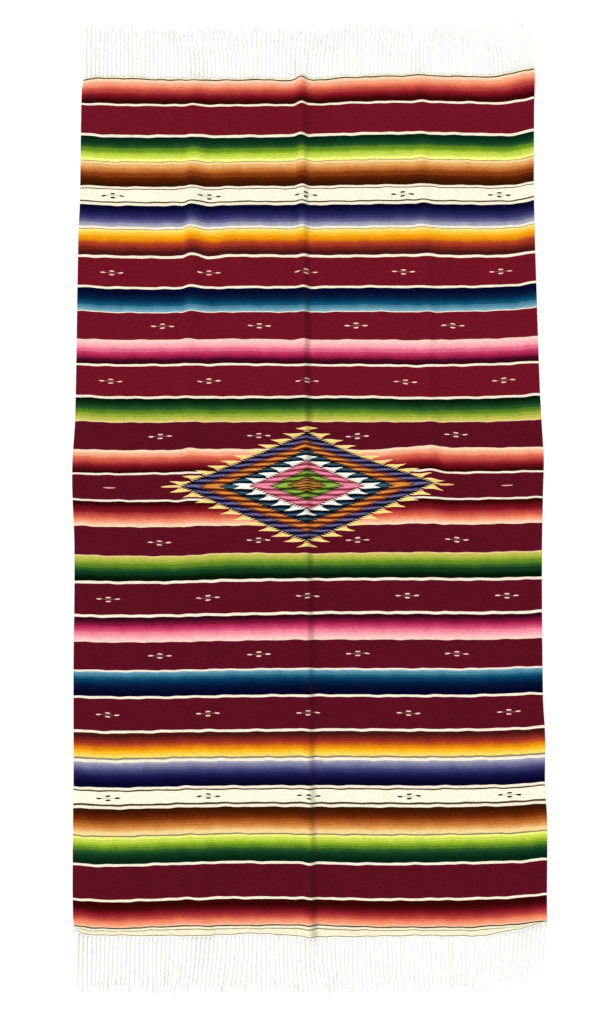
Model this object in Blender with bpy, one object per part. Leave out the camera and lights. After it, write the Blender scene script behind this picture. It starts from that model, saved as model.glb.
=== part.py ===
"""A hand-woven serape laid out flat: one cloth panel and the warp fringe at its two ends.

Metres, +Z up. +X runs across the cloth, +Y along it towards the head end. The origin is the middle of
the whole part's box, on the surface that the cloth lies on. Tables are in millimetres.
"""
import math
import random
from typing import NamedTuple

import bmesh
import bpy

MM = 0.001

# Driving sizes
CLOTH_WIDTH = 1200.0
CLOTH_LENGTH = 2206.0
CLOTH_WALL = 2.2
SEAM_GAP = 0.3
FRINGE_LENGTH = 135.0
STRIP_WIDTH = 6.0
STRANDS_PER_END = 108

# Mesh spacing of the cloth wall
COLUMN_SPACING = 72.0
ROW_COUNT = 28
ROW_CROWDING = 0.76
EDGE_COLUMN = 22.0
FOLD_COLUMNS = (-1.0, -0.7, -0.45, -0.2, 0.0, 0.2, 0.45, 0.7, 1.0)

# A strand is widest where it leaves the strip, comes down within the landing share of its length,
# and its tip clears the floor
STRAND_SHARE = 0.44
STRAND_TIP_SHARE = 0.30
STRAND_TIP_HEIGHT = 1.5
TIP_CLEARANCE = 0.5
STRAND_STEPS = (0.34, 0.68, 1.0)
STRAND_LANDING = 0.72
STRAND_SHORTEST = 0.86
STRAND_JITTER = 1.1
FRINGE_SEED = 21

# Colours of the plain finishes
WOOL = (0.16, 0.012, 0.02)
COTTON = (0.80, 0.76, 0.66)


class EdgePoint(NamedTuple):
    """One point of an edge: how far along it, and how far out it lies."""

    along: float
    out: float


class Fold(NamedTuple):
    """A long soft ridge left by folding. It runs from foot to head, highest at peak_y."""

    name: str
    x_foot: float
    x_head: float
    y_foot: float
    y_peak: float
    y_head: float
    rise_foot: float
    rise_peak: float
    rise_head: float
    reach_left: float
    reach_right: float


class Strand(NamedTuple):
    """One strand of fringe: how far it reaches out, how it leans and its width at root and tip."""

    reach: float
    drift: float
    sway: float
    width: float
    tip_width: float


class Wave(NamedTuple):
    """A slow wave across the fringe, which leans neighbouring strands the same way."""

    sway: float
    length: float
    phase: float


class Corner(NamedTuple):
    """A corner of the cloth that lifts off the surface."""

    name: str
    x: float
    y: float
    reach_x: float
    reach_y: float
    rise: float


# The selvedges: along is Y, out is X
LEFT_SELVEDGE = (
    EdgePoint(-1103, -580), EdgePoint(-1050, -590), EdgePoint(-820, -594), EdgePoint(-720, -591),
    EdgePoint(-420, -598), EdgePoint(-268, -596), EdgePoint(-115, -598), EdgePoint(13, -606),
    EdgePoint(90, -606), EdgePoint(200, -600), EdgePoint(665, -598), EdgePoint(771, -592),
    EdgePoint(1060, -593), EdgePoint(1103, -587),
)
RIGHT_SELVEDGE = (
    EdgePoint(-1103, 594), EdgePoint(-1017, 598), EdgePoint(-820, 601), EdgePoint(-746, 597),
    EdgePoint(-621, 599), EdgePoint(-520, 595), EdgePoint(-166, 597), EdgePoint(0, 602),
    EdgePoint(90, 606), EdgePoint(271, 598), EdgePoint(480, 593), EdgePoint(771, 589),
    EdgePoint(1065, 593), EdgePoint(1103, 591),
)
# The two ends: along is X, out is Y
HEAD_END = (
    EdgePoint(-588, 1098), EdgePoint(-546, 1104), EdgePoint(-388, 1100), EdgePoint(-283, 1098),
    EdgePoint(-126, 1100), EdgePoint(-47, 1098), EdgePoint(-5, 1102), EdgePoint(18, 1099),
    EdgePoint(110, 1106), EdgePoint(294, 1111), EdgePoint(496, 1108), EdgePoint(540, 1116),
    EdgePoint(591, 1125),
)
FOOT_END = (
    EdgePoint(-580, -1089), EdgePoint(-560, -1099), EdgePoint(-445, -1103), EdgePoint(-270, -1103),
    EdgePoint(-120, -1098), EdgePoint(-20, -1105), EdgePoint(105, -1106), EdgePoint(280, -1103),
    EdgePoint(430, -1104), EdgePoint(472, -1097), EdgePoint(530, -1085), EdgePoint(595, -1066),
)

# The first folds carry mesh columns of their own, and the rest lie among those columns
LINED_FOLDS = 3
FOLDS = (
    Fold("centre fold", 10, -5, -1200, 0, 1200, 11, 8, 14, 50, 30),
    Fold("left crease", -290, -322, -260, 610, 1200, 0, 8, 5, 36, 62),
    Fold("right crease", 345, 290, -190, 90, 1200, 0, 7, 4, 52, 44),
    Fold("low left crease", -262, -300, -1200, -1000, -640, 5, 5, 0, 62, 46),
)
CORNERS = (
    Corner("head right", 600, 1125, 150, 120, 10),
    Corner("foot right", 600, -1085, 170, 100, 6),
    Corner("foot left", -596, -1100, 90, 80, 3),
    Corner("head left", -596, 1104, 70, 60, 2),
)

DRIFT_WAVES = (
    Wave(sway=9.0, length=131.0, phase=0.7),
    Wave(sway=5.0, length=57.0, phase=2.1),
    Wave(sway=2.0, length=23.0, phase=0.0),
)


def clear_scene() -> None:
    """Removes every object of the scene."""
    for obj in list(bpy.data.objects):
        bpy.data.objects.remove(obj, do_unlink=True)


def ease(share: float) -> float:
    """A smooth step from 0 to 1."""
    share = min(max(share, 0.0), 1.0)
    return share * share * (3.0 - 2.0 * share)


def slope_at(edge: tuple[EdgePoint, ...], index: int) -> float:
    """The slope of an edge's curve at one point of its table, taken from that point's neighbours."""
    low = edge[max(index - 1, 0)]
    high = edge[min(index + 1, len(edge) - 1)]
    return (high.out - low.out) / (high.along - low.along)


def edge_at(edge: tuple[EdgePoint, ...], along: float) -> float:
    """Reads an edge's table, on a smooth curve through its points."""
    if along <= edge[0].along:
        return edge[0].out
    for index, (low, high) in enumerate(zip(edge, edge[1:])):
        if along <= high.along:
            run = high.along - low.along
            share = (along - low.along) / run
            straight = low.out + (high.out - low.out) * ease(share)
            leaving = slope_at(edge, index) * run * share * (1.0 - share) ** 2
            arriving = slope_at(edge, index + 1) * run * share * share * (share - 1.0)
            return straight + leaving + arriving
    return edge[-1].out


def bump(distance: float, reach: float) -> float:
    """A rounded ridge, 1 on its line and 0 from reach on."""
    if abs(distance) >= reach:
        return 0.0
    return 0.5 + 0.5 * math.cos(math.pi * distance / reach)


def fold_rise(fold: Fold, x: float, y: float) -> float:
    """How high one fold lifts the cloth at a point."""
    if not fold.y_foot < y < fold.y_head:
        return 0.0
    if y < fold.y_peak:
        share = ease((y - fold.y_foot) / (fold.y_peak - fold.y_foot))
        crest = fold.rise_foot + (fold.rise_peak - fold.rise_foot) * share
    else:
        share = ease((y - fold.y_peak) / (fold.y_head - fold.y_peak))
        crest = fold.rise_peak + (fold.rise_head - fold.rise_peak) * share
    length_share = (y + CLOTH_LENGTH / 2) / CLOTH_LENGTH
    line = fold.x_foot + (fold.x_head - fold.x_foot) * length_share
    reach = fold.reach_left if x < line else fold.reach_right
    return crest * bump(x - line, reach)


def lift(x: float, y: float) -> float:
    """The underside's height: 0 where the cloth rests, more under a fold or a raised corner."""
    height = max(fold_rise(fold, x, y) for fold in FOLDS)
    for corner in CORNERS:
        across = bump(x - corner.x, corner.reach_x)
        height += corner.rise * across * bump(y - corner.y, corner.reach_y)
    return height


def cloth_point(column: float, length_share: float) -> tuple[float, float]:
    """Places a point of the flat cloth within its four edges.

    column is the place across an even cloth, and length_share runs from 0 at the foot to 1 at the head.
    """
    along = (length_share - 0.5) * CLOTH_LENGTH
    left = edge_at(LEFT_SELVEDGE, along)
    right = edge_at(RIGHT_SELVEDGE, along)
    x = left + (column / CLOTH_WIDTH + 0.5) * (right - left)
    foot = edge_at(FOOT_END, x)
    head = edge_at(HEAD_END, x)
    return x, foot + (head - foot) * length_share


def cloth_columns() -> list[tuple[float, float]]:
    """The columns of the wall, each as its place at the foot and at the head.

    Each fold has its own columns, which follow its line. Even columns fill the flat stretches.
    """
    half = CLOTH_WIDTH / 2
    columns = [(place, place) for place in (-half, -half + EDGE_COLUMN, half - EDGE_COLUMN, half)]
    for fold in FOLDS[:LINED_FOLDS]:
        for share in FOLD_COLUMNS:
            offset = share * (fold.reach_left if share < 0 else fold.reach_right)
            columns.append((fold.x_foot + offset, fold.x_head + offset))
    columns.sort()
    filled = [columns[0]]
    for column in columns[1:]:
        last = filled[-1]
        parts = max(1, math.ceil((column[0] - last[0]) / COLUMN_SPACING))
        for part in range(1, parts + 1):
            share = part / parts
            filled.append(tuple(a + (b - a) * share for a, b in zip(last, column)))
    return filled


def cloth_rows() -> list[float]:
    """The rows of the wall, as shares of its length, closer together near the two ends."""
    half_turn = math.pi / 2 * ROW_CROWDING
    return [
        0.5 + 0.5 * math.sin(half_turn * (2.0 * row / ROW_COUNT - 1.0)) / math.sin(half_turn)
        for row in range(ROW_COUNT + 1)
    ]


def end_line(length_share: float) -> list[tuple[float, float, float]]:
    """The underside's points along the cloth's foot (0) or head (1)."""
    line = []
    for foot, head in cloth_columns():
        x, y = cloth_point(foot + (head - foot) * length_share, length_share)
        line.append((x, y, lift(x, y)))
    return line


def on_line(line: list[tuple[float, float, float]], x: float) -> tuple[float, float]:
    """Reads the Y and the height of an end's line at one place across."""
    for low, high in zip(line, line[1:]):
        if x <= high[0]:
            share = max(0.0, (x - low[0]) / (high[0] - low[0]))
            return low[1] + (high[1] - low[1]) * share, low[2] + (high[2] - low[2]) * share
    return line[-1][1], line[-1][2]


def beside_line(line: list[tuple[float, float, float]], stations: list[float], outward: int) -> list[float]:
    """The strip's inner edge at each station: a seam's gap outside the cloth's end.

    Where a point of the cloth would cross the straight run between two stations, both move out by as much.
    """
    inner = [on_line(line, x)[0] + outward * SEAM_GAP for x in stations]
    for index, (low, high) in enumerate(zip(stations, stations[1:])):
        start, end = (on_line(line, x)[0] for x in (low, high))
        for x, y, _ in line:
            if low < x < high:
                run = start + (end - start) * (x - low) / (high - low)
                push = max(0.0, outward * (y - run))
                inner[index] += outward * push
                inner[index + 1] += outward * push
    return inner


def material(name: str, colour: tuple[float, float, float], roughness: float) -> bpy.types.Material:
    """A plain Principled material."""
    result = bpy.data.materials.new(name)
    result.use_nodes = True
    shader = result.node_tree.nodes["Principled BSDF"]
    shader.inputs["Base Color"].default_value = (*colour, 1.0)
    shader.inputs["Roughness"].default_value = roughness
    shader.inputs["Metallic"].default_value = 0.0
    return result


def add_object(name: str, mesh: bmesh.types.BMesh, finish: bpy.types.Material) -> bpy.types.Object:
    """Makes a named object of a finished bmesh."""
    data = bpy.data.meshes.new(name)
    mesh.to_mesh(data)
    mesh.free()
    data.materials.append(finish)
    data.shade_smooth()
    data.set_sharp_from_angle(angle=math.radians(40))
    obj = bpy.data.objects.new(name, data)
    bpy.context.scene.collection.objects.link(obj)
    return obj


def vertex(mesh: bmesh.types.BMesh, x: float, y: float, z: float) -> bmesh.types.BMVert:
    """Adds a vertex whose place is given in millimetres."""
    return mesh.verts.new((x * MM, y * MM, z * MM))


def add_layer(mesh: bmesh.types.BMesh, height: float) -> list[list[bmesh.types.BMVert]]:
    """Adds one layer of the cloth's points, row by row, at a height over the cloth's underside."""
    layer = []
    for row in cloth_rows():
        line = []
        for foot, head in cloth_columns():
            x, y = cloth_point(foot + (head - foot) * row, row)
            line.append(vertex(mesh, x, y, lift(x, y) + height))
        layer.append(line)
    return layer


def build_panel() -> bpy.types.Object:
    """The cloth: an under and an upper layer of points, one wall apart, closed round its edges."""
    mesh = bmesh.new()
    under, upper = (add_layer(mesh, height) for height in (0.0, CLOTH_WALL))
    last_row, last_column = len(under) - 1, len(under[0]) - 1
    for row in range(last_row):
        for column in range(last_column):
            for layer, turn in ((under, -1), (upper, 1)):
                low, high = layer[row], layer[row + 1]
                mesh.faces.new([low[column], low[column + 1], high[column + 1], high[column]][::turn])
    for row in range(last_row):
        for column, turn in ((0, -1), (last_column, 1)):
            side = [under[row][column], under[row + 1][column], upper[row + 1][column], upper[row][column]]
            mesh.faces.new(side[::turn])
    for column in range(last_column):
        for row, turn in ((0, 1), (last_row, -1)):
            side = [under[row][column], under[row][column + 1], upper[row][column + 1], upper[row][column]]
            mesh.faces.new(side[::turn])
    return add_object("woven_panel", mesh, material("wool_weave", WOOL, 0.85))


def tip_drift(x: float) -> float:
    """How far a strand's tip lies to one side of its root: slow waves that neighbours share."""
    return sum(wave.sway * math.sin(x / wave.length + wave.phase) for wave in DRIFT_WAVES)


def draw_out_strand(mesh: bmesh.types.BMesh, root: bmesh.types.BMFace, strand: Strand) -> None:
    """Draws one strand out of its root face, in steps, down to just above the floor."""
    start = root.calc_center_median() / MM
    tip_height = TIP_CLEARANCE + STRAND_TIP_HEIGHT / 2
    face = root
    for step in STRAND_STEPS:
        face = bmesh.ops.extrude_discrete_faces(mesh, faces=[face])["faces"][0]
        middle = face.calc_center_median()
        width = strand.width + (strand.tip_width - strand.width) * step
        height = CLOTH_WALL + (STRAND_TIP_HEIGHT - CLOTH_WALL) * step
        x = start.x + strand.drift * step * step + strand.sway * math.sin(math.pi * step)
        y = start.y + strand.reach * step
        z = start.z + (tip_height - start.z) * ease(step / STRAND_LANDING)
        for corner in face.verts:
            side = math.copysign(width / 2, corner.co.x - middle.x)
            top = math.copysign(height / 2, corner.co.z - middle.z)
            corner.co = ((x + side) * MM, y * MM, (z + top) * MM)


def build_fringe(name: str, outward: int) -> bpy.types.Object:
    """One end's fringe: strands drawn out of the outer side of a narrow strip along the cloth's end.

    outward is 1 at the head and -1 at the foot.
    """
    mesh = bmesh.new()
    line = end_line(1.0 if outward > 0 else 0.0)
    first, last = line[0][0], line[-1][0]
    pitch = (last - first) / STRANDS_PER_END
    half_root = pitch * STRAND_SHARE / 2
    middles = [first + (strand + 0.5) * pitch for strand in range(STRANDS_PER_END)]
    stations = [first] + [middle + side for middle in middles for side in (-half_root, half_root)] + [last]
    rings = []
    for x, inner in zip(stations, beside_line(line, stations, outward)):
        floor = on_line(line, x)[1]
        outer = inner + outward * STRIP_WIDTH
        corners = ((inner, floor), (outer, floor), (outer, floor + CLOTH_WALL), (inner, floor + CLOTH_WALL))
        rings.append([vertex(mesh, x, y, z) for y, z in corners])
    runs = []
    for ring, following in zip(rings, rings[1:]):
        sides = [(ring[side], ring[side - 3], following[side - 3], following[side]) for side in range(4)]
        runs.append([mesh.faces.new(side) for side in sides])
    mesh.faces.new(rings[0][::-1])
    mesh.faces.new(rings[-1])
    draw = random.Random(FRINGE_SEED + outward)
    for run in runs[1::2]:
        root = run[1]
        strand = Strand(
            reach=outward * FRINGE_LENGTH * draw.uniform(STRAND_SHORTEST, 1.0),
            drift=tip_drift(root.calc_center_median().x / MM) + draw.uniform(-STRAND_JITTER, STRAND_JITTER),
            sway=draw.uniform(-STRAND_JITTER, STRAND_JITTER),
            width=pitch * STRAND_SHARE,
            tip_width=pitch * STRAND_TIP_SHARE,
        )
        draw_out_strand(mesh, root, strand)
    bmesh.ops.recalc_face_normals(mesh, faces=mesh.faces)
    return add_object(name, mesh, material(f"{name}_cotton", COTTON, 0.9))


def settle(pieces: list[bpy.types.Object]) -> None:
    """Moves the points of all pieces so that the origin is under the middle of their box."""
    points = [vert.co for piece in pieces for vert in piece.data.vertices]
    shift_x = 0.5 * (min(p.x for p in points) + max(p.x for p in points))
    shift_y = 0.5 * (min(p.y for p in points) + max(p.y for p in points))
    for piece in pieces:
        for vert in piece.data.vertices:
            vert.co.x -= shift_x
            vert.co.y -= shift_y


def main() -> None:
    """Builds the serape."""
    clear_scene()
    settle([
        build_panel(),
        build_fringe("fringe_head", 1),
        build_fringe("fringe_foot", -1),
    ])


main()
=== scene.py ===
"""A hand-woven serape laid out flat: its woven cloth, heading cords, knots and fringe.

Metres, +Z up. +X runs across the cloth and +Y along it towards the head end. The tables are in
millimetres, in the cloth's own places: X from the middle of its width, Y from the middle of its length.
"""
from __future__ import annotations

import logging
import math
import random
from dataclasses import dataclass, field
from enum import Enum
from typing import NamedTuple

import bmesh
import bpy
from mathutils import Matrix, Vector


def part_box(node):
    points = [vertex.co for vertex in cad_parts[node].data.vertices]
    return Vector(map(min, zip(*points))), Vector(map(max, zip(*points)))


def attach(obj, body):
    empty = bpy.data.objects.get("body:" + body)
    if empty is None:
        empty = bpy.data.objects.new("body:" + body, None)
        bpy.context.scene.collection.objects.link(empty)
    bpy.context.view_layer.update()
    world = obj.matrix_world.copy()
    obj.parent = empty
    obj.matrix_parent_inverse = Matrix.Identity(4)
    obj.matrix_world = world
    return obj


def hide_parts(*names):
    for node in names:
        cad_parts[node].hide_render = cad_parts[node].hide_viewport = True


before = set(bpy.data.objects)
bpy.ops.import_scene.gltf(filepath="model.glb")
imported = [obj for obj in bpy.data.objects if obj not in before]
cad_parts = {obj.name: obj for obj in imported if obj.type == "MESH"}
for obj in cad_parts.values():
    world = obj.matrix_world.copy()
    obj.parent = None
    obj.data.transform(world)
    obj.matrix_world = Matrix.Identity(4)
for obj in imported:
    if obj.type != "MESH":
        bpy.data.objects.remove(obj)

MM = 0.001
BODY = "root"
FAMILY_SIZE = 8
log = logging.getLogger("serape")


def graded(*dyes: str) -> tuple[str, ...]:
    """Works out a family's shades between the few dyes that it is mixed from.

    Args:
        *dyes: the dyes from light to dark, each as six hexadecimal digits.

    Returns:
        The family's shades from light to dark, in even steps.
    """
    channels = [[int(dye[start:start + 2], 16) for start in (0, 2, 4)] for dye in dyes]
    shades = []
    for step in range(FAMILY_SIZE):
        place = (len(dyes) - 1) * step / (FAMILY_SIZE - 1)
        index = min(int(place), len(dyes) - 2)
        share = place - index
        parts = [round(low + (high - low) * share) for low, high in zip(channels[index], channels[index + 1])]
        shades.append("".join(f"{part:02x}" for part in parts))
    return tuple(shades)


class Yarn(Enum):
    """The dyed yarns of the weft. Each is one shade, or a family of shades between four plain dyes."""

    HEADING = ("faf2d2",)
    CREAM = ("fdf0d8",)
    MOTIF_CREAM = ("fefade",)
    WHITE = ("faead8",)
    STRAW = ("e8cc90",)
    HAIRLINE = ("948a66",)
    OLIVE = ("463a1e",)
    BURGUNDY = ("701022",)
    DEEP_BURGUNDY = ("5b0c1e",)
    CORAL = graded("ffddbb", "ee7755", "881122", "330000")
    GREEN = graded("ffff88", "99bb22", "114422", "002211")
    BROWN = graded("ffdd99", "cc7733", "662200", "331100")
    VIOLET = graded("aaaabb", "444477", "111144", "000022")
    SUNSET = graded("ffee88", "ffaa00", "aa3322", "441111")
    BLUE = graded("77aabb", "004466", "001133", "000022")
    PINK = graded("ffddcc", "ff99aa", "bb2255", "330011")
    DULL_GREEN = graded("ddcc66", "779922", "114422", "001100")


class Order(Enum):
    """Which end of a yarn's shades lies towards the nearer end of the cloth."""

    LIGHT_OUT = "light out"
    DARK_OUT = "dark out"


class Edge(NamedTuple):
    """One point of an edge: how far along it, and how far out it lies."""

    along: float
    out: float


class Fold(NamedTuple):
    """A long soft ridge left by folding. It runs from foot to head, highest at y_peak."""

    name: str
    x_foot: float
    x_head: float
    y_foot: float
    y_peak: float
    y_head: float
    rise_foot: float
    rise_peak: float
    rise_head: float
    reach_left: float
    reach_right: float


class Corner(NamedTuple):
    """A corner of the cloth that lifts off the floor."""

    name: str
    x: float
    y: float
    reach_x: float
    reach_y: float
    rise: float


class Crease(NamedTuple):
    """A short soft ridge: its middle, its half length and half width, its rise and its turn in degrees."""

    x: float
    y: float
    half_length: float
    half_width: float
    rise: float
    turn: float


class Course(NamedTuple):
    """How a line of weft strays: its lift along the cloth at some places across, against its own height."""

    height: float
    left_edge: float
    left: float
    before_crease: float
    left_crease: float
    past_left_crease: float
    reference: float
    middle: float
    right_of_middle: float
    right_crease: float
    past_right_crease: float
    right: float
    near_edge: float
    right_edge: float


class Band(NamedTuple):
    """One band of weft, in the head half and again in the foot half.

    head and foot are the heights of its outer side, and head_lot and foot_lot how many shades darker
    than its yarn's own the dye of each half is.
    """

    yarn: Yarn
    order: Order
    head: float
    foot: float
    head_lot: float = 0.0
    foot_lot: float = 0.0


class MotifRow(NamedTuple):
    """A row of small dash motifs: its height, the place of one of them and the step between them."""

    height: float
    place: float
    step: float
    dark: bool


class Dash(NamedTuple):
    """A dash of the middle band: its middle, its half length and half width, and its shade."""

    x: float
    y: float
    half: float
    thick: float
    shade: str


class Zone(NamedTuple):
    """One zone of the diamond, from its middle out to limit, in steps across.

    flag is how far its flags reach past the limit, lines the light streaks in a row, crest the place of the
    streak or of the flag's base, sharpness how narrow a streak is, and dark and light are its shades.
    """

    name: str
    limit: float
    flag: float
    lines: int
    crest: float
    sharpness: float
    dark: str
    light: str


LEFT_SELVEDGE = (
    Edge(-1103, -580), Edge(-1050, -588), Edge(-820, -591), Edge(-720, -591), Edge(-420, -595),
    Edge(-268, -595), Edge(-115, -597), Edge(13, -604), Edge(90, -604.5), Edge(200, -599), Edge(665, -597),
    Edge(771, -594), Edge(1060, -593), Edge(1103, -587),
)
RIGHT_SELVEDGE = (
    Edge(-1103, 594), Edge(-1017, 598), Edge(-820, 601), Edge(-746, 597), Edge(-621, 599),
    Edge(-520, 595), Edge(-166, 597), Edge(0, 602), Edge(90, 605), Edge(200, 600), Edge(290, 597),
    Edge(480, 593), Edge(771, 589), Edge(1065, 593), Edge(1103, 591),
)
HEAD_END = (
    Edge(-588, 1098), Edge(-546, 1104), Edge(-388, 1100), Edge(-283, 1098), Edge(-126, 1100),
    Edge(-47, 1098), Edge(-5, 1102), Edge(18, 1099), Edge(110, 1106), Edge(294, 1111), Edge(496, 1108),
    Edge(540, 1116), Edge(591, 1125),
)
FOOT_END = (
    Edge(-580, -1089), Edge(-560, -1099), Edge(-445, -1103), Edge(-270, -1103), Edge(-120, -1098),
    Edge(-20, -1105), Edge(105, -1106), Edge(280, -1103), Edge(430, -1104), Edge(472, -1097),
    Edge(530, -1085), Edge(595, -1066),
)
FOLDS = (
    Fold("centre fold", 7, -18, -1200, 0, 1150, 9, 11, 17, 24, 21),
    Fold("left crease", -340, -298, -260, 610, 1200, 0, 9, 5, 24, 46),
    Fold("right crease", 345, 290, -190, 90, 1200, 0, 8, 6, 26, 30),
    Fold("low left crease", -262, -300, -1200, -1000, -640, 5, 5, 0, 40, 34),
)
CORNERS = (
    Corner("head right", 600, 1125, 150, 120, 10),
    Corner("foot right", 600, -1085, 170, 100, 6),
    Corner("foot left", -596, -1100, 90, 80, 3),
    Corner("head left", -596, 1104, 70, 60, 2),
)
CREASES = (
    Crease(-470, 1085, 16, 34, 1.6, 90), Crease(-385, 1060, 20, 50, 1.4, 84),
    Crease(-205, 1070, 24, 44, 1.2, 96), Crease(105, 1040, 26, 70, 1.5, 88),
    Crease(216, 960, 30, 110, 1.8, 100), Crease(430, 1000, 28, 80, 1.3, 80),
    Crease(-520, 690, 110, 30, 1.2, 8), Crease(470, 560, 120, 26, 1.4, -6),
    Crease(560, 300, 28, 140, 1.6, 92), Crease(-560, 120, 30, 120, 1.5, 88),
    Crease(150, 300, 150, 24, 0.9, 4), Crease(-130, -420, 140, 26, 0.9, -5),
    Crease(555, -330, 26, 150, 1.5, 86), Crease(-460, -620, 130, 34, 1.2, 7),
    Crease(380, -800, 150, 30, 1.3, -8), Crease(-110, -980, 34, 90, 1.6, 82),
    Crease(210, -1040, 28, 60, 1.3, 97), Crease(-560, -900, 26, 110, 1.2, 94),
)

COURSE_PLACES = (-589, -507, -328, -304, -256, -197, 0, 159, 310, 354, 415, 530, 589)
COURSES = (
    Course(-1081, 1.5, -7, -1.5, -0.5, 0, 0, 1.5, -3.5, -4, -4, -3.5, 5.5, 12.5),
    Course(-965, -5, -9, -4, -3, -1.5, 0, -2, -5, -4, -3, -2, 1, 7),
    Course(-630, 0, -4, -1, 0, 0, 0, 2, 2, 1, 1.5, 2, 5, 10),
    Course(-480, -1, -3.5, -3, -2, -1, 0, 2, 1, 1, 1, 1, 5, 7),
    Course(-260, -3, -4.5, -3, -2, -1, 0, 4, 5, 5, 4.5, 4, 5, 8),
    Course(-152, -4, -7, -8, -6, -3, 0, -1, 1, 2, 1.5, 1, 4, 6),
    Course(-17, 2, -1, -1, 1.5, 0.5, 0, 0, 2, 8, 3.5, 4, 6, 8),
    Course(57, 0, -2, 0.5, 1.5, 0.5, 0, 1, 1, 9, 2.5, 2, 4, 6),
    Course(122, 0, -3, -2, 2, 0, 0, 0, -2, 9, 4.5, 4, 4, 6),
    Course(225, 4, 0, 0, 1, -0.5, 0, 1, 1, -3, -1.5, -1, 2.5, 7.5),
    Course(370, 0, -3, -2, -2, -1.5, 0, -3, -3, -5, -3, -2, 2, 6),
    Course(510, 4, -1, -2, 3, -1.5, 0, 0, 2, 0, 1, 2, 6, 14),
    Course(625, 0, -3, -4, 2, -5, 0, -2, -1, 1, -1, -2, 0.5, 11),
    Course(985, 6, 1, 1, 1, -0.5, 0, 3, 8, 9, 8, 7, 5, 17),
)

BANDS = (
    Band(Yarn.HAIRLINE, Order.LIGHT_OUT, 1099, -1101),
    Band(Yarn.HEADING, Order.LIGHT_OUT, 1099, -1098.4),
    Band(Yarn.HAIRLINE, Order.LIGHT_OUT, 1097.5, -1087.4),
    Band(Yarn.HEADING, Order.LIGHT_OUT, 1097.5, -1085.2),
    Band(Yarn.OLIVE, Order.LIGHT_OUT, 1096, -1080.3),
    Band(Yarn.CORAL, Order.LIGHT_OUT, 1092.6, -1077, 0.25, 1.15),
    Band(Yarn.CREAM, Order.LIGHT_OUT, 1028.7, -1013),
    Band(Yarn.BURGUNDY, Order.LIGHT_OUT, 1023.3, -1007),
    Band(Yarn.CREAM, Order.LIGHT_OUT, 946.4, -925.5),
    Band(Yarn.GREEN, Order.DARK_OUT, 939.6, -919.5, 0.1, 0.6),
    Band(Yarn.HAIRLINE, Order.LIGHT_OUT, 876, -854),
    Band(Yarn.BROWN, Order.LIGHT_OUT, 874, -850, 0.28, 0.15),
    Band(Yarn.CREAM, Order.LIGHT_OUT, 810, -785.6),
    Band(Yarn.OLIVE, Order.LIGHT_OUT, 804.4, -778.8),
    Band(Yarn.MOTIF_CREAM, Order.LIGHT_OUT, 802, -773.8),
    Band(Yarn.OLIVE, Order.LIGHT_OUT, 771, -743.3),
    Band(Yarn.CREAM, Order.LIGHT_OUT, 767.3, -739.6),
    Band(Yarn.VIOLET, Order.DARK_OUT, 760.3, -733.2, 0.0, 0.3),
    Band(Yarn.CREAM, Order.LIGHT_OUT, 705, -672),
    Band(Yarn.HAIRLINE, Order.LIGHT_OUT, 699, -665),
    Band(Yarn.SUNSET, Order.LIGHT_OUT, 697, -660, 0.5, 0.7),
    Band(Yarn.CREAM, Order.LIGHT_OUT, 629.3, -598.9),
    Band(Yarn.BURGUNDY, Order.LIGHT_OUT, 622.5, -592.6),
    Band(Yarn.CREAM, Order.LIGHT_OUT, 545.6, -512.5),
    Band(Yarn.BLUE, Order.DARK_OUT, 539.6, -506.5, 0.0, 0.5),
    Band(Yarn.WHITE, Order.LIGHT_OUT, 479.3, -445),
    Band(Yarn.BURGUNDY, Order.LIGHT_OUT, 476.8, -440.4),
    Band(Yarn.PINK, Order.LIGHT_OUT, 407, -370, 0.4, 0.5),
    Band(Yarn.CREAM, Order.LIGHT_OUT, 343.4, -306.4),
    Band(Yarn.BURGUNDY, Order.LIGHT_OUT, 337.6, -299.6),
    Band(Yarn.WHITE, Order.LIGHT_OUT, 257.6, -220.2),
    Band(Yarn.DULL_GREEN, Order.DARK_OUT, 251.4, -213.3, 0.25, 0.5),
    Band(Yarn.STRAW, Order.LIGHT_OUT, 192.6, -149.4),
    Band(Yarn.BURGUNDY, Order.LIGHT_OUT, 189.8, -146.4),
    Band(Yarn.CORAL, Order.LIGHT_OUT, 120.5, -76.5, 0.05, 0.35),
    Band(Yarn.WHITE, Order.LIGHT_OUT, 60, -14.3),
    Band(Yarn.BURGUNDY, Order.LIGHT_OUT, 55, -9.3),
)
# The burgundy weft is of a darker dye lot below this height
DYE_LOT_HEIGHT = 225.0

MOTIF_ROWS = (
    MotifRow(785, -5, 252, True), MotifRow(-759, 2, 253, True),
    MotifRow(583, -4.5, 252.5, False), MotifRow(442, 124.5, 250.5, False), MotifRow(297.5, -2, 253.5, False),
    MotifRow(155, 127, 253.5, False), MotifRow(-114, 127, 253.5, False),
    MotifRow(-260, -1, 254, False), MotifRow(-404.5, 126.5, 251.5, False), MotifRow(-553, 0.5, 254, False),
)
ZONES = (
    Zone("gold flags", 10.15, 1.75, 1, 0.0, 0.5, "f2c068", "ffe290"),
    Zone("navy", 10.1, 0.0, 1, 0.10, 3.2, "0a0222", "74709e"),
    Zone("orange", 8.55, 0.0, 1, 0.22, 2.1, "560f02", "f29a4a"),
    Zone("teal", 6.95, 0.0, 1, 0.22, 2.8, "000610", "3a6076"),
    Zone("white", 4.70, 1.66, 1, 0.50, 0.5, "f4f0e2", "fffff4"),
    Zone("pink", 4.62, 0.0, 1, 0.25, 1.3, "7c1626", "fc98b0"),
    Zone("green", 2.95, 0.0, 1, 0.20, 1.6, "122c00", "9cc24c"),
    Zone("heart", 1.6, 0.0, 2, 0.30, 1.0, "2c0c00", "da9648"),
)
OUTER_ZONES = 4
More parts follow.
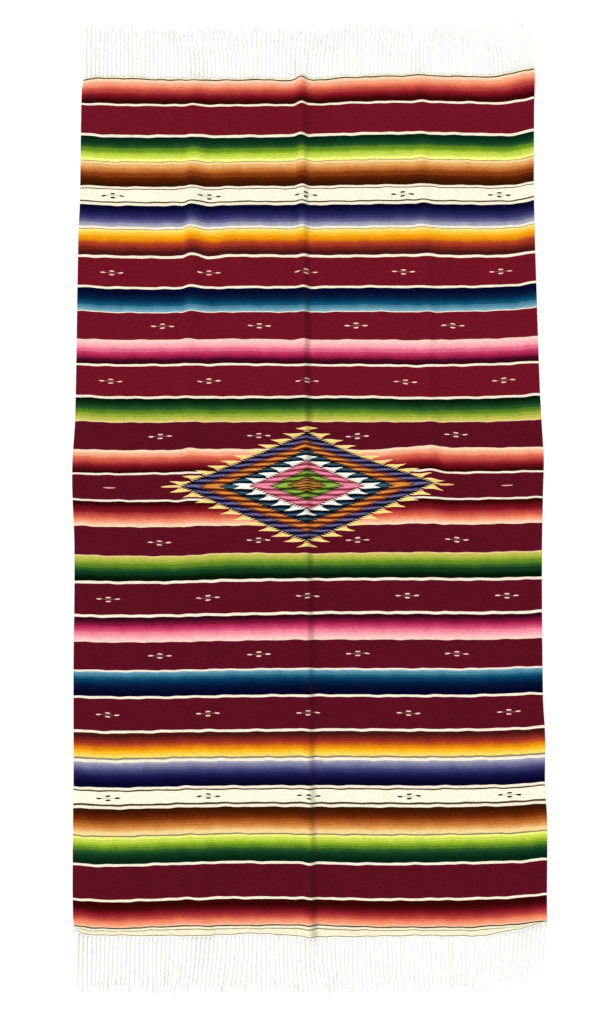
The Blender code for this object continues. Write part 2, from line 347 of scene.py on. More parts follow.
TIP_DASHES = (
    Dash(-509.5, 22.5, 16.5, 1.5, "e8b59c"), Dash(511.0, 22.0, 15.0, 1.5, "e8b59c"),
    Dash(-349.0, 23.5, 28.0, 2.6, "ffd98e"), Dash(349.0, 26.0, 26.0, 2.6, "f3b878"),
)


def ease(share: float) -> float:
    """Returns a smooth step from 0 to 1."""
    share = min(max(share, 0.0), 1.0)
    return share * share * (3.0 - 2.0 * share)


def slope_at(edge: tuple[Edge, ...], index: int) -> float:
    """Returns the slope of an edge's curve at one point of its table, taken from its neighbours."""
    low = edge[max(index - 1, 0)]
    high = edge[min(index + 1, len(edge) - 1)]
    return (high.out - low.out) / (high.along - low.along)


def edge_at(edge: tuple[Edge, ...], along: float) -> float:
    """Reads an edge's table, on a smooth curve through its points.

    Args:
        edge: the table, from its lowest place to its highest.
        along: the place to read it at.

    Returns:
        How far out the edge lies there.
    """
    if along <= edge[0].along:
        return edge[0].out
    for index, (low, high) in enumerate(zip(edge, edge[1:])):
        if along <= high.along:
            run = high.along - low.along
            share = (along - low.along) / run
            straight = low.out + (high.out - low.out) * ease(share)
            leaving = slope_at(edge, index) * run * share * (1.0 - share) ** 2
            arriving = slope_at(edge, index + 1) * run * share * share * (share - 1.0)
            return straight + leaving + arriving
    return edge[-1].out


def bump(distance: float, reach: float) -> float:
    """Returns the height of a rounded ridge, 1 on its line and 0 from reach on."""
    if abs(distance) >= reach:
        return 0.0
    return 0.5 + 0.5 * math.cos(math.pi * distance / reach)


def linear(shade: str) -> tuple[float, float, float, float]:
    """Turns a shade written as six hexadecimal digits into a linear colour with full alpha."""
    parts = [int(shade[start:start + 2], 16) / 255.0 for start in (0, 2, 4)]
    return (*(part / 12.92 if part <= 0.04045 else ((part + 0.055) / 1.055) ** 2.4 for part in parts), 1.0)


@dataclass
class NodeGraph:
    """Builds node trees in few words.

    Attributes:
        tree: the node tree that the nodes go into.
    """

    tree: bpy.types.NodeTree

    def node(self, kind: str, **settings: object) -> bpy.types.Node:
        """Adds a node and sets its properties.

        Args:
            kind: the node's type name.
            **settings: its properties, by name.

        Returns:
            The new node.
        """
        made = self.tree.nodes.new(kind)
        for name, value in settings.items():
            setattr(made, name, value)
        return made

    def join(self, source: object, target: bpy.types.NodeSocket) -> None:
        """Links a socket to an input, or sets the input where the source is a plain value."""
        if isinstance(source, bpy.types.NodeSocket):
            self.tree.links.new(source, target)
        else:
            target.default_value = source

    def maths(self, operation: str, *values: object, clamp: bool = False) -> bpy.types.NodeSocket:
        """Adds a Math node.

        Args:
            operation: the operation's name.
            *values: one to three numbers or sockets.
            clamp: whether the result is held between 0 and 1.

        Returns:
            The result's socket.
        """
        made = self.node("ShaderNodeMath", operation=operation, use_clamp=clamp)
        for value, target in zip(values, made.inputs):
            self.join(value, target)
        return made.outputs[0]

    def vector(self, operation: str, *values: object) -> bpy.types.NodeSocket:
        """Adds a Vector Math node and returns its vector result."""
        made = self.node("ShaderNodeVectorMath", operation=operation)
        for value, target in zip(values, made.inputs):
            self.join(value, target)
        return made.outputs[0]

    def scaled(self, vector: object, scale: object) -> bpy.types.NodeSocket:
        """Returns a vector times a number."""
        made = self.node("ShaderNodeVectorMath", operation="SCALE")
        self.join(vector, made.inputs[0])
        self.join(scale, made.inputs["Scale"])
        return made.outputs[0]

    def combine(self, x: object, y: object, z: object) -> bpy.types.NodeSocket:
        """Returns a vector made of three numbers or sockets."""
        made = self.node("ShaderNodeCombineXYZ")
        for value, target in zip((x, y, z), made.inputs):
            self.join(value, target)
        return made.outputs[0]

    def split(self, vector: bpy.types.NodeSocket) -> tuple[bpy.types.NodeSocket, ...]:
        """Returns a vector's three numbers."""
        made = self.node("ShaderNodeSeparateXYZ")
        self.join(vector, made.inputs[0])
        return tuple(made.outputs)

    def mix(self, share: object, first: object, second: object, blend: str = "MIX") -> bpy.types.NodeSocket:
        """Mixes two colours.

        Args:
            share: how much of the second there is.
            first: the colour at 0.
            second: the colour at 1.
            blend: the way they are blended.

        Returns:
            The mixed colour's socket.
        """
        made = self.node("ShaderNodeMix", data_type="RGBA", blend_type=blend)
        self.join(share, made.inputs[0])
        self.join(first, made.inputs[6])
        self.join(second, made.inputs[7])
        return made.outputs[2]

    def smooth(self, value: object, low: float, high: float) -> bpy.types.NodeSocket:
        """Returns a smooth step of a value, from 0 at low to 1 at high."""
        made = self.node("ShaderNodeMapRange", interpolation_type="SMOOTHSTEP")
        for source, target in zip((value, low, high, 0.0, 1.0), made.inputs):
            self.join(source, target)
        return made.outputs[0]

    def noise(self, place: object, scale: float, detail: float = 2.0) -> bpy.types.NodeSocket:
        """Returns a noise value around 0.5 at a place."""
        made = self.node("ShaderNodeTexNoise")
        self.join(place, made.inputs["Vector"])
        made.inputs["Scale"].default_value = scale
        made.inputs["Detail"].default_value = detail
        return made.outputs[0]

    def least(self, values: list[bpy.types.NodeSocket]) -> bpy.types.NodeSocket:
        """Returns the least of some values."""
        result = values[0]
        for value in values[1:]:
            result = self.maths("MINIMUM", result, value)
        return result


@dataclass(frozen=True)
class Palette:
    """All the weft's shades, one yarn after another, as the wool finish reads them.

    Attributes:
        yarns: the yarns, in their order in the palette.
    """

    yarns: tuple[Yarn, ...] = tuple(Yarn)

    def start(self, yarn: Yarn) -> int:
        """Returns the place of a yarn's first shade, past the copy of it that keeps its neighbours out."""
        before = self.yarns[:self.yarns.index(yarn)]
        return 1 + sum(len(other.value) + 2 for other in before)

    def stops(self) -> list[tuple[int, str]]:
        """Returns every shade with its place, each yarn's end shades twice."""
        shades = [
            shade for yarn in self.yarns for shade in (yarn.value[0], *yarn.value, yarn.value[-1])
        ]
        return list(enumerate(shades))


class Strip(NamedTuple):
    """The cloth between two rows of mesh points: their heights and the shades that lie on it."""

    low: float
    high: float
    start: int
    count: int
    shade_low: float
    shade_high: float


@dataclass(frozen=True)
class WoolFinish:
    """The dyed wool weft: its shaded bands, motifs, diamond, ribs, painted shade between its picks and along
    the centre fold's right flank, and soft sheen.

    Attributes:
        palette: the shades of the weft.
        pick: the height of one pick of weft, in millimetres.
        warp: the distance between two warps, in millimetres.
        jitter: how far picks of neighbouring shades mix, in shades.
        relief: the depth of the weave, in millimetres.
        ramp_size: the most shades that one colour ramp holds.
        roughness, sheen, specular: how the wool takes the light.
        dust, painted_fold_shade_colour: the strength and colour of the painted shade on the centre fold's
            right flank.
        painted_fold_shade_offset, painted_fold_shade_width: its place beside the fold and its reach, in
        millimetres.
        painted_fold_shade_low, painted_fold_shade_high: the heights between which it fades.
        centre_x, centre_y: the middle of the diamond, and heart_y that of its inner zones.
        step_across: the width of one step of the diamond, in millimetres.
        row_above, row_below: the height of its rows in each half.
        first_row_above, first_row_below: the share of the middle row in each half.
        teeth, overhang: the teeth in a row, and how far they lean out, in steps.
        lean, streak_start, rim: the lean of the streaks, where it starts, and the width of their dark rim.
        kink, kink_run: the rise of the weft at the diamond's middle line, and its run, in millimetres.
        flag_curve: how hollow the flags are.
        motif_reach, outside: how far the motifs reach across, and a value that no dash covers.
        dash_place, dash_drop, dash_half: the place and half length of a motif's dashes, in millimetres.
        dark_thick, pale_thick: the half width of its dashes.
        line_half, line_thick: the half length and half width of the line that joins them.
        dark_thread, pale_thread: its shades.
        fibre, patch, bead, fleck, rib, base: the shares of the yarn's lights and darks, bead being a painted
            shade in the hollows between picks.
    """

    palette: Palette = Palette()
    pick: float = 1.3
    warp: float = 3.4
    jitter: float = 0.7
    relief: float = 0.12
    ramp_size: int = 32
    roughness: float = 0.88
    sheen: float = 0.02
    specular: float = 0.03
    dust: float = 0.26
    centre_x: float = -3.0
    centre_y: float = 23.5
    heart_y: float = 25.0
    step_across: float = 32.4
    row_above: float = 13.55
    row_below: float = 14.3
    first_row_above: float = 0.05
    first_row_below: float = 1.0
    teeth: float = 4.0
    overhang: float = 0.3
    lean: float = 0.1
    flag_curve: float = 1.5
    streak_start: float = 0.8
    rim: float = 0.7
    kink: float = 5.0
    kink_run: float = 38.0
    motif_reach: float = 585.0
    outside: float = 9.0
    dash_place: float = 23.4
    dash_drop: float = 5.0
    dash_half: float = 6.8
    dark_thick: float = 2.2
    pale_thick: float = 1.6
    line_half: float = 23.0
    line_thick: float = 0.7
    dark_thread: str = "140e0a"
    pale_thread: str = "ffd6ca"
    painted_fold_shade_colour: str = "1c1010"
    painted_fold_shade_offset: float = 8.0
    painted_fold_shade_width: float = 15.0
    painted_fold_shade_low: float = 350.0
    painted_fold_shade_high: float = 850.0
    fibre: float = 0.27
    patch: float = 0.11
    bead: float = 0.11
    fleck: float = 0.6
    rib: float = 0.02
    base: float = 0.343

    def build(self) -> bpy.types.Material:
        """Builds the material.

        Returns:
            The wool material, which reads the cloth's shade attribute and its weave map.
        """
        material = bpy.data.materials.new("wool_weave")
        material.use_nodes = True
        graph = NodeGraph(material.node_tree)
        shader = material.node_tree.nodes["Principled BSDF"]
        x, y = self.cloth_place(graph)
        colour = self.band_colour(graph, y)
        colour = self.add_motifs(graph, colour, x, y)
        colour = self.add_diamond(graph, colour, x, y)
        height = self.weave_height(graph, x, y)
        colour = self.add_yarn_variation(graph, colour, height, x, y)
        # Painted shade: the yarn is darkened along the right flank of the centre fold.
        colour = self.add_painted_fold_shade(graph, colour, x, y)
        graph.join(colour, shader.inputs["Base Color"])
        relief = graph.node("ShaderNodeBump")
        relief.inputs["Strength"].default_value = 0.5
        relief.inputs["Distance"].default_value = self.relief * MM
        graph.join(height, relief.inputs["Height"])
        graph.join(relief.outputs[0], shader.inputs["Normal"])
        shader.inputs["Roughness"].default_value = self.roughness
        shader.inputs["Specular IOR Level"].default_value = self.specular
        shader.inputs["Sheen Weight"].default_value = self.sheen
        shader.inputs["Sheen Roughness"].default_value = 0.5
        return material

    def cloth_place(self, graph: NodeGraph) -> tuple[bpy.types.NodeSocket, bpy.types.NodeSocket]:
        """Returns the place on the flat cloth, in millimetres across and along."""
        weave = graph.node("ShaderNodeUVMap", uv_map="weave")
        across, along, _ = graph.split(graph.scaled(weave.outputs[0], 1.0 / MM))
        return across, along

    def band_colour(self, graph: NodeGraph, y: bpy.types.NodeSocket) -> bpy.types.NodeSocket:
        """Returns the colour of the shaded bands.

        Args:
            graph: the material's graph.
            y: the place along the cloth.

        Returns:
            The colour, in which picks of neighbouring shades mix at random.
        """
        shade = graph.node("ShaderNodeAttribute", attribute_name="shade")
        start, place, count = graph.split(shade.outputs["Vector"])
        picks = graph.maths("FLOOR", graph.maths("DIVIDE", y, self.pick))
        chance = graph.node("ShaderNodeTexWhiteNoise", noise_dimensions="1D")
        graph.join(picks, chance.inputs["W"])
        stray = graph.maths("MULTIPLY", graph.maths("SUBTRACT", chance.outputs[0], 0.5), self.jitter)
        last = graph.maths("SUBTRACT", count, 0.5)
        inside = graph.maths("MINIMUM", graph.maths("MAXIMUM", graph.maths("ADD", place, stray), 0.5), last)
        along = graph.maths("SUBTRACT", graph.maths("ADD", start, inside), 0.5)
        stops = self.palette.stops()
        colour = None
        for first in range(0, len(stops), self.ramp_size - 1):
            part = stops[first:first + self.ramp_size]
            ramp = self.shade_ramp(graph, part, along)
            if colour is None:
                colour = ramp
            else:
                colour = graph.mix(graph.maths("GREATER_THAN", along, float(first)), colour, ramp)
        return colour

    def shade_ramp(
        self, graph: NodeGraph, stops: list[tuple[int, str]], along: bpy.types.NodeSocket
    ) -> bpy.types.NodeSocket:
        """Adds one colour ramp for a run of shades.

        Args:
            graph: the material's graph.
            stops: the shades with their places in the sequence.
            along: the place in the sequence.

        Returns:
            The ramp's colour.
        """
        first = stops[0][0]
        span = max(stops[-1][0] - first, 1)
        made = graph.node("ShaderNodeValToRGB")
        elements = made.color_ramp.elements
        elements[0].position, elements[0].color = 0.0, linear(stops[0][1])
        elements[1].position, elements[1].color = 1.0, linear(stops[-1][1])
        for place, shade in stops[1:-1]:
            elements.new((place - first) / span).color = linear(shade)
        share = graph.maths("DIVIDE", graph.maths("SUBTRACT", along, float(first)), float(span))
        graph.join(share, made.inputs[0])
        return made.outputs[0]

    def add_motifs(
        self, graph: NodeGraph, colour: bpy.types.NodeSocket, x: bpy.types.NodeSocket, y: bpy.types.NodeSocket
    ) -> bpy.types.NodeSocket:
        """Weaves in the rows of small motifs, each four dashes, and the dashes of the middle band.

        Args:
            graph: the material's graph.
            colour: the colour so far.
            x: the place across the cloth.
            y: the place along it.

        Returns:
            The colour with the motifs.
        """
        place = graph.combine(x, y, 0.0)
        stray = graph.maths("MULTIPLY", graph.maths("SUBTRACT", graph.noise(place, 0.03), 0.5), 5.0)
        bent = graph.maths("ADD", y, stray)
        for dark in (True, False):
            shapes, lines = [], []
            for row in MOTIF_ROWS:
                if row.dark is dark:
                    shape, line = self.motif(graph, row, x, bent)
                    shapes.append(shape)
                    lines.append(line)
            thread = linear(self.dark_thread if dark else self.pale_thread)
            joining = graph.maths("LESS_THAN", graph.least(lines), 1.0)
            colour = graph.mix(graph.maths("MULTIPLY", joining, 0.6 if dark else 0.16), colour, thread)
            colour = graph.mix(graph.maths("LESS_THAN", graph.least(shapes), 1.0), colour, thread)
        for tip in TIP_DASHES:
            shape = self.dash(graph, x, y, tip.x, tip.y, tip.half, tip.thick)
            colour = graph.mix(graph.maths("LESS_THAN", shape, 1.0), colour, linear(tip.shade))
        return colour

    def dash(
        self, graph: NodeGraph, x: object, y: object, middle: float, height: float, half: float, thick: float
    ) -> bpy.types.NodeSocket:
        """Returns a value that is under 1 inside a dash with tapered ends."""
        across = graph.maths("DIVIDE", graph.maths("SUBTRACT", x, middle), half)
        along = graph.maths("DIVIDE", graph.maths("SUBTRACT", y, height), thick)
        squares = (graph.maths("MULTIPLY", value, value) for value in (across, along))
        return graph.maths("ADD", *squares)

    def motif(
        self, graph: NodeGraph, row: MotifRow, x: bpy.types.NodeSocket, y: bpy.types.NodeSocket
    ) -> tuple[bpy.types.NodeSocket, bpy.types.NodeSocket]:
        """Returns two values, each under 1 inside a row's dashes or on its joining line."""
        turns = graph.maths("DIVIDE", graph.maths("SUBTRACT", x, row.place), row.step)
        nearest = graph.maths("SUBTRACT", turns, graph.maths("FLOOR", graph.maths("ADD", turns, 0.5)))
        across = graph.maths("ABSOLUTE", graph.maths("MULTIPLY", nearest, row.step))
        along = graph.maths("ABSOLUTE", graph.maths("SUBTRACT", y, row.height))
        thick = self.dark_thick if row.dark else self.pale_thick
        side = self.dash(graph, across, along, self.dash_place, 0.0, self.dash_half, thick)
        middle = self.dash(graph, across, along, 0.0, self.dash_drop, self.dash_half, thick)
        line = graph.maths("MAXIMUM", graph.maths("DIVIDE", across, self.line_half),
                           graph.maths("DIVIDE", along, self.line_thick))
        past = graph.maths("GREATER_THAN", graph.maths("ABSOLUTE", x), self.motif_reach)
        past = graph.maths("MULTIPLY", past, self.outside)
        dashes = graph.maths("MINIMUM", side, middle)
        return tuple(graph.maths("ADD", value, past) for value in (dashes, line))

    def add_diamond(
        self, graph: NodeGraph, colour: bpy.types.NodeSocket, x: bpy.types.NodeSocket, y: bpy.types.NodeSocket
    ) -> bpy.types.NodeSocket:
        """Weaves in the serrated diamond.

        Its zones lie inside one another. Their edges climb in small teeth, the outer and the white zone
        carry flags, and in each row of a zone a light streak lies over a dark one.

        Args:
            graph: the material's graph.
            colour: the colour so far.
            x: the place across the cloth.
            y: the place along it.

        Returns:
            The colour with the diamond.
        """
        place = graph.combine(x, y, 0.0)
        stray = graph.maths("MULTIPLY", graph.maths("SUBTRACT", graph.noise(place, 0.05), 0.5), 5.0)
        offset = graph.maths("SUBTRACT", graph.maths("ADD", x, stray), self.centre_x)
        across = graph.maths("ABSOLUTE", offset)
        fading = graph.maths("EXPONENT", graph.maths("DIVIDE", across, -self.kink_run))
        kink = graph.maths("MULTIPLY", fading, self.kink)
        level = graph.maths("SUBTRACT", y, kink)
        for centre, zones in ((self.centre_y, ZONES[:OUTER_ZONES]), (self.heart_y, ZONES[OUTER_ZONES:])):
            colour = self.add_zones(graph, colour, across, graph.maths("SUBTRACT", level, centre), zones)
        return colour

    def add_zones(
        self,
        graph: NodeGraph,
        colour: bpy.types.NodeSocket,
        across: bpy.types.NodeSocket,
        height: bpy.types.NodeSocket,
        zones: tuple[Zone, ...],
    ) -> bpy.types.NodeSocket:
        """Weaves in some zones of the diamond.

        Args:
            graph: the material's graph.
            colour: the colour so far.
            across: the distance from the diamond's middle line.
            height: the height above the zones' middle.
            zones: the zones, the outer ones first.

        Returns:
            The colour with the zones.
        """
        above = graph.maths("GREATER_THAN", height, 0.0)
        steps_above = graph.maths("DIVIDE", height, self.row_above)
        steps_below = graph.maths("DIVIDE", height, -self.row_below)
        steps = graph.maths("MAXIMUM", steps_above, steps_below)
        more_above = self.first_row_above - self.first_row_below
        first = graph.maths("ADD", graph.maths("MULTIPLY", above, more_above), self.first_row_below)
        rows = graph.maths("ADD", steps, first)
        picks = graph.maths("MULTIPLY", rows, self.teeth)
        toothed = graph.maths("DIVIDE", graph.maths("ADD", graph.maths("FLOOR", picks), 0.5), self.teeth)
        tooth = graph.maths("SUBTRACT", graph.maths("FRACT", picks), 0.5)
        steps_across = graph.maths("DIVIDE", across, self.step_across)
        outline = graph.maths("SUBTRACT", steps_across, graph.maths("MULTIPLY", tooth, self.overhang))
        inward = graph.maths("SUBTRACT", toothed, first)
        reach = graph.maths("ADD", outline, inward)
        for zone in zones:
            inside = self.zone_mask(graph, zone, reach, toothed)
            colour = graph.mix(inside, colour, self.zone_colour(graph, zone, rows, steps_across, reach))
        return colour

    def zone_mask(
        self, graph: NodeGraph, zone: Zone, reach: bpy.types.NodeSocket, rows: bpy.types.NodeSocket
    ) -> bpy.types.NodeSocket:
        """Returns 1 inside a zone and 0 outside it."""
        if not zone.flag:
            return graph.maths("LESS_THAN", reach, zone.limit)
        turns = graph.maths("SUBTRACT", rows, zone.crest)
        share = graph.maths("POWER", graph.maths("FRACT", turns), self.flag_curve)
        limit = graph.maths("ADD", graph.maths("MULTIPLY", share, zone.flag), zone.limit)
        return graph.maths("LESS_THAN", reach, limit)

    def zone_colour(
        self,
        graph: NodeGraph,
        zone: Zone,
        rows: bpy.types.NodeSocket,
        steps_across: bpy.types.NodeSocket,
        reach: bpy.types.NodeSocket,
    ) -> bpy.types.NodeSocket:
        """Returns a zone's colour: in each row a light streak that leans to the tip, and dark around it."""
        turns = graph.maths("SUBTRACT", rows, zone.crest)
        row = graph.maths("FLOOR", graph.maths("ADD", turns, 0.5))
        place = graph.maths("SUBTRACT", graph.maths("ADD", steps_across, row), zone.limit - self.streak_start)
        turns = graph.maths("ADD", turns, graph.maths("MULTIPLY", place, self.lean))
        wave = graph.maths("COSINE", graph.maths("MULTIPLY", turns, 2.0 * math.pi * zone.lines))
        share = graph.maths("ADD", graph.maths("MULTIPLY", wave, 0.5), 0.5)
        share = graph.maths("POWER", share, zone.sharpness)
        if not zone.flag:
            share = graph.maths("MULTIPLY", share, graph.smooth(reach, zone.limit, zone.limit - self.rim))
        return graph.mix(share, linear(zone.dark), linear(zone.light))

    def weave_height(
        self, graph: NodeGraph, x: bpy.types.NodeSocket, y: bpy.types.NodeSocket
    ) -> bpy.types.NodeSocket:
        """Returns the height of the weft-faced weave: rounded picks that rise over every other warp, for the
        bump and for a painted shade between the picks.
        """
        picks = graph.maths("DIVIDE", y, self.pick)
        odd = graph.maths("MODULO", graph.maths("FLOOR", picks), 2.0)
        shift = graph.maths("MULTIPLY", odd, 0.5)
        turns = graph.maths("ADD", graph.maths("DIVIDE", x, 2.0 * self.warp), shift)
        along = graph.maths("ABSOLUTE", graph.maths("COSINE", graph.maths("MULTIPLY", turns, math.pi)))
        across = graph.maths("SINE", graph.maths("MULTIPLY", graph.maths("FRACT", picks), math.pi))
        return graph.maths("MULTIPLY", graph.maths("POWER", along, 0.6), graph.maths("POWER", across, 0.6))

    def add_yarn_variation(
        self,
        graph: NodeGraph,
        colour: bpy.types.NodeSocket,
        height: bpy.types.NodeSocket,
        x: bpy.types.NodeSocket,
        y: bpy.types.NodeSocket,
    ) -> bpy.types.NodeSocket:
        """Lightens and darkens the yarn: fibre to fibre, in flecks, in slow patches and along the warp ribs,
        with a painted shade in the hollows between picks.
        """
        place = graph.combine(graph.maths("MULTIPLY", x, 0.25), y, 0.0)
        fibre = graph.noise(place, 1.1, 3.0)
        patch = graph.noise(graph.combine(x, y, 0.0), 0.012, 3.0)
        fleck = graph.noise(place, 0.3, 2.0)
        ribs = graph.maths("SINE", graph.maths("MULTIPLY", x, math.pi / self.warp))
        tone = graph.maths("MULTIPLY", fibre, self.fibre)
        # The weave's height darkens the hollows between picks: a painted shade.
        for value, share in ((patch, self.patch), (height, self.bead), (fleck, self.fleck), (ribs, self.rib)):
            tone = graph.maths("ADD", tone, graph.maths("MULTIPLY", value, share))
        tone = graph.maths("ADD", tone, self.base)
        return graph.mix(1.0, colour, graph.combine(tone, tone, tone), "MULTIPLY")

    def add_painted_fold_shade(
        self, graph: NodeGraph, colour: bpy.types.NodeSocket, x: bpy.types.NodeSocket, y: bpy.types.NodeSocket
    ) -> bpy.types.NodeSocket:
        """Darkens the yarn along the right flank of the centre fold, more towards the foot: a painted shade
        for the fold's shaded side.
        """
        fold = FOLDS[0]
        slope = (fold.x_head - fold.x_foot) / (HEAD_END[0].out - FOOT_END[0].out)
        middle = (fold.x_head + fold.x_foot) / 2.0 + self.painted_fold_shade_offset
        line = graph.maths("ADD", graph.maths("MULTIPLY", y, slope), middle)
        distance = graph.maths("ABSOLUTE", graph.maths("SUBTRACT", x, line))
        near = graph.maths("SUBTRACT", 1.0, graph.smooth(distance, 0.0, self.painted_fold_shade_width))
        low = graph.maths("SUBTRACT", 1.0, graph.smooth(y, self.painted_fold_shade_low, self.painted_fold_shade_high))
        amount = graph.maths("MULTIPLY", graph.maths("MULTIPLY", near, low), self.dust)
        # Painted shade: the fold's shaded flank is mixed into the yarn's colour.
        return graph.mix(amount, colour, linear(self.painted_fold_shade_colour))


@dataclass(frozen=True)
class CottonFinish:
    """The undyed cotton of the warp: cream, matt and faintly soiled, with the twist of its plies.

    Attributes:
        shade: its colour.
        soiled: its colour where it has greyed.
        roughness, sheen, specular: how the cotton takes the light.
        twist_scale: the fineness of its plies, as a noise scale.
    """

    shade: str = "fefcf6"
    soiled: str = "f8f2e6"
    roughness: float = 0.92
    sheen: float = 0.05
    specular: float = 0.1
    twist_scale: float = 900.0

    def build(self, name: str) -> bpy.types.Material:
        """Builds the material.

        Args:
            name: the material's name.

        Returns:
            The cotton material, which reads object coordinates.
        """
        material = bpy.data.materials.new(name)
        material.use_nodes = True
        graph = NodeGraph(material.node_tree)
        shader = material.node_tree.nodes["Principled BSDF"]
        place = graph.node("ShaderNodeTexCoord").outputs["Object"]
        patch = graph.noise(place, 60.0, 3.0)
        fibre = graph.noise(place, self.twist_scale, 2.0)
        colour = graph.mix(graph.smooth(patch, 0.45, 0.75), linear(self.shade), linear(self.soiled))
        tone = graph.maths("ADD", graph.maths("MULTIPLY", fibre, 0.10), 0.94)
        colour = graph.mix(1.0, colour, graph.combine(tone, tone, tone), "MULTIPLY")
        graph.join(colour, shader.inputs["Base Color"])
        relief = graph.node("ShaderNodeBump")
        relief.inputs["Strength"].default_value = 0.5
        relief.inputs["Distance"].default_value = 0.2 * MM
        graph.join(fibre, relief.inputs["Height"])
        graph.join(relief.outputs[0], shader.inputs["Normal"])
        shader.inputs["Roughness"].default_value = self.roughness
        shader.inputs["Specular IOR Level"].default_value = self.specular
        shader.inputs["Sheen Weight"].default_value = self.sheen
        return material


@dataclass
class ClothForm:
    """The form of the cloth as it lies: its edges, folds, lifted corners, creases and lines of weft.

    Attributes:
        wall: the thickness of the cloth, in millimetres.
        length: the length between its ends, in millimetres.
        wobbles: the waves of a hand-beaten weft: how far each sways, its runs across and along, its phase.
        shift_y: how far the cloth's own places lie from the frame's along Y, in metres.
    """

    wall: float = 2.2
    length: float = 2206.0
    wobbles: tuple[tuple[float, float, float, float], ...] = (
        (0.6, 17.0, 9.0, 0.4), (0.5, 9.5, -23.0, 2.0), (0.35, 6.5, 14.0, 1.1),
    )
    shift_y: float = field(init=False)

    def __post_init__(self) -> None:
        """Finds the shift from the frame: the cloth's highest corner is the last point of its head end."""
        self.shift_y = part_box("woven_panel")[1].y - HEAD_END[-1].out * MM
        reference = COURSE_PLACES[COURSES[0]._fields.index("reference") - 1]
        self.ends = (edge_at(FOOT_END, reference), edge_at(HEAD_END, reference))
        self.lines = [tuple(Edge(*point) for point in zip(COURSE_PLACES, course[1:])) for course in COURSES]

    def fold_rise(self, fold: Fold, x: float, y: float) -> float:
        """Returns how high one fold lifts the cloth at a point."""
        if not fold.y_foot < y < fold.y_head:
            return 0.0
        if y < fold.y_peak:
            share = ease((y - fold.y_foot) / (fold.y_peak - fold.y_foot))
            crest = fold.rise_foot + (fold.rise_peak - fold.rise_foot) * share
        else:
            share = ease((y - fold.y_peak) / (fold.y_head - fold.y_peak))
            crest = fold.rise_peak + (fold.rise_head - fold.rise_peak) * share
        line = fold.x_foot + (fold.x_head - fold.x_foot) * (y + self.length / 2) / self.length
        return crest * bump(x - line, fold.reach_left if x < line else fold.reach_right)

    def crease_rise(self, crease: Crease, x: float, y: float) -> float:
        """Returns how high one short crease lifts the cloth at a point."""
        turn = math.radians(crease.turn)
        away_x, away_y = x - crease.x, y - crease.y
        along = away_x * math.cos(turn) + away_y * math.sin(turn)
        across = away_y * math.cos(turn) - away_x * math.sin(turn)
        if crease.turn > 45:
            return crease.rise * bump(along, crease.half_width) * bump(across, crease.half_length)
        return crease.rise * bump(along, crease.half_length) * bump(across, crease.half_width)

    def lift(self, x: float, y: float) -> float:
        """Returns the underside's height: 0 where the cloth rests, more under a fold, crease or corner."""
        height = max(self.fold_rise(fold, x, y) for fold in FOLDS)
        for corner in CORNERS:
            height += corner.rise * bump(x - corner.x, corner.reach_x) * bump(y - corner.y, corner.reach_y)
        return height + sum(self.crease_rise(crease, x, y) for crease in CREASES)

    def stray(self, x: float, height: float) -> float:
        """Returns how far a line of weft strays, with the small wobble of a hand-beaten weft."""
        wobble = sum(
            sway * math.sin(x / run + height / rise + phase) for sway, run, rise, phase in self.wobbles
        )
        return self.course(x, height) + wobble

    def course(self, x: float, height: float) -> float:
        """Returns how far a line of weft strays from its own height at one place across."""
        foot, head = self.ends
        if height <= COURSES[0].height:
            low, high = edge_at(FOOT_END, x) - foot, edge_at(self.lines[0], x)
            share = (height - foot) / (COURSES[0].height - foot)
            return low + (high - low) * ease(share)
        if height >= COURSES[-1].height:
            low, high = edge_at(self.lines[-1], x), edge_at(HEAD_END, x) - head
            share = (height - COURSES[-1].height) / (head - COURSES[-1].height)
            return low + (high - low) * ease(share)
        for index, (below, above) in enumerate(zip(COURSES, COURSES[1:])):
            if height <= above.height:
                share = ease((height - below.height) / (above.height - below.height))
                low, high = (edge_at(self.lines[line], x) for line in (index, index + 1))
                return low + (high - low) * share
        return 0.0

    def point(self, column: float, height: float) -> tuple[float, float]:
        """Places a point of the cloth.

        Args:
            column: its share across, from 0 at the left selvedge to 1 at the right.
            height: the height of its line of weft.

        Returns:
            Its X and Y in millimetres.
        """
        left, right = edge_at(LEFT_SELVEDGE, height), edge_at(RIGHT_SELVEDGE, height)
        x = left + column * (right - left)
        return x, height + self.stray(x, height)

    def place(self, x: float, y: float, z: float) -> tuple[float, float, float]:
        """Returns a point of the frame, in metres."""
        return x * MM, y * MM + self.shift_y, z * MM


def add_object(name: str, data: bpy.types.Mesh) -> bpy.types.Object:
    """Makes a named object of a mesh and links it to the scene."""
    obj = bpy.data.objects.new(name, data)
    bpy.context.scene.collection.objects.link(obj)
    return obj


